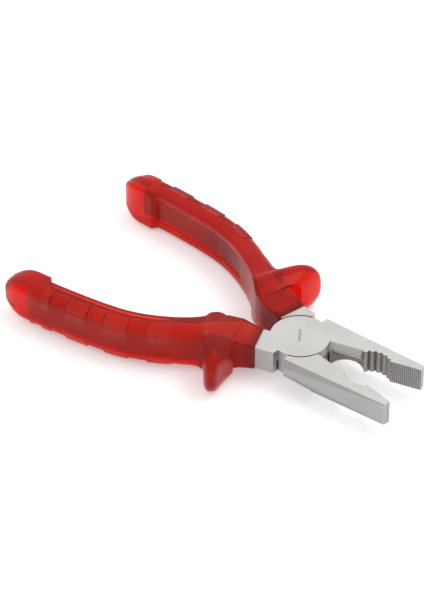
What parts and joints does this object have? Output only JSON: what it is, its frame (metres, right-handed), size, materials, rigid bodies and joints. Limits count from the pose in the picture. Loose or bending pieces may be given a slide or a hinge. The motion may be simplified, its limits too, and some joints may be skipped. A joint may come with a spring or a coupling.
{
  "type": "combination pliers",
  "caption": "Lap-joint combination pliers with serrated jaws, pipe grip, side cutter and translucent guarded grips, lying part open.",
  "frame": {"origin": "on the pivot axis, half way through the thickness of the head", "axes": "+X along the bisector of the opening towards the jaws, +Z along the pivot axis out of the front disc, the front half's handle at -Y"},
  "size_m": [0.1721, 0.0936, 0.0224],
  "materials": {
    "ground_steel": "satin ground",
    "rivet_steel": "satin ground",
    "red_plastic": "translucent, satin gloss"
  },
  "bodies": {
    "front": {"front_half": "ground_steel", "front_grip": "red_plastic", "pivot_rivet": "rivet_steel"},
    "rear": {"rear_half": "ground_steel", "rear_grip": "red_plastic"}
  },
  "joints": [
    {"name": "pivot_turn", "type": "hinge", "parent": "front", "child": "rear", "pos_m": [0, 0, 0], "axis": [0, 0, 1], "range_deg": [-21, 24.6]}
  ]
}
